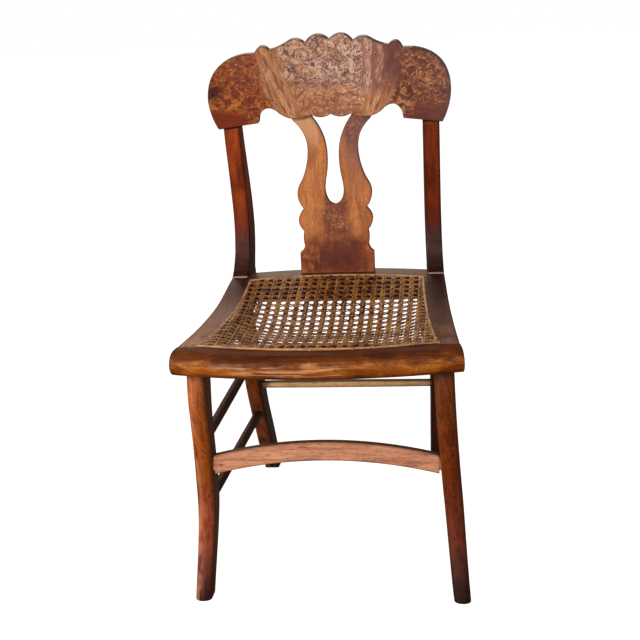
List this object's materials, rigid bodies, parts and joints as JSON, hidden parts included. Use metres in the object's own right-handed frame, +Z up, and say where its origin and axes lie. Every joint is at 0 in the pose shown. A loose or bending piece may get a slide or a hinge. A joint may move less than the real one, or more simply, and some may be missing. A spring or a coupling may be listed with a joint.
{
  "type": "lyre back dining chair",
  "caption": "Side chair with a bowed crest rail, a pierced lyre splat, a caned seat in a bowed frame, sabre front legs, raked rear legs and turned side stretchers.",
  "frame": {"origin": "on the floor, under the middle of the chair's outer width and depth", "axes": "+Z up, +Y to the back, +X to the right of a viewer in front of the chair"},
  "size_m": [0.4572, 0.524, 0.8603],
  "materials": {
    "burl_veneer": "figured burl veneer under an old shellac gloss",
    "edge_wood": "dark red-brown varnish, worn edges",
    "tan_wood": "tan straight grain, satin varnish",
    "red_wood": "red-brown varnish, satin",
    "dark_wood": "dark brown varnish, rubbed",
    "golden_wood": "golden red-brown shellac, glossy",
    "pale_wood": "pale worn wood, satin",
    "cane": "aged split rattan, satin",
    "binder": "flat rattan binder, satin",
    "beech": "bare hardwood dowel",
    "steel": "old iron, dull"
  },
  "bodies": {
    "root": {"crest_rail": "edge_wood", "crest_veneer": "burl_veneer", "lyre_splat": "tan_wood", "splat_veneer": "tan_wood", "front_rail": "golden_wood", "rear_rail": "red_wood", "front_stretcher": "pale_wood", "rear_stretcher": "pale_wood", "cane_panel": "cane", "front_binder": "binder", "rear_binder": "binder", "stretcher_nail": "steel", "right_back_post": "red_wood", "right_side_rail": "dark_wood", "right_front_leg": "golden_wood", "right_rear_leg": "red_wood", "right_upper_side_stretcher": "dark_wood", "right_lower_side_stretcher": "dark_wood", "right_side_binder": "binder", "right_post_dowel_1": "beech", "right_front_rail_dowel_1": "beech", "right_rear_rail_dowel_1": "beech", "right_crest_screw_1": "steel", "right_post_dowel_2": "beech", "right_front_rail_dowel_2": "beech", "right_rear_rail_dowel_2": "beech", "right_crest_screw_2": "steel", "left_back_post": "red_wood", "left_side_rail": "dark_wood", "left_front_leg": "golden_wood", "left_rear_leg": "red_wood", "left_upper_side_stretcher": "dark_wood", "left_lower_side_stretcher": "dark_wood", "left_side_binder": "binder", "left_post_dowel_1": "beech", "left_front_rail_dowel_1": "beech", "left_rear_rail_dowel_1": "beech", "left_crest_screw_1": "steel", "left_post_dowel_2": "beech", "left_front_rail_dowel_2": "beech", "left_rear_rail_dowel_2": "beech", "left_crest_screw_2": "steel"}
  },
  "joints": []
}
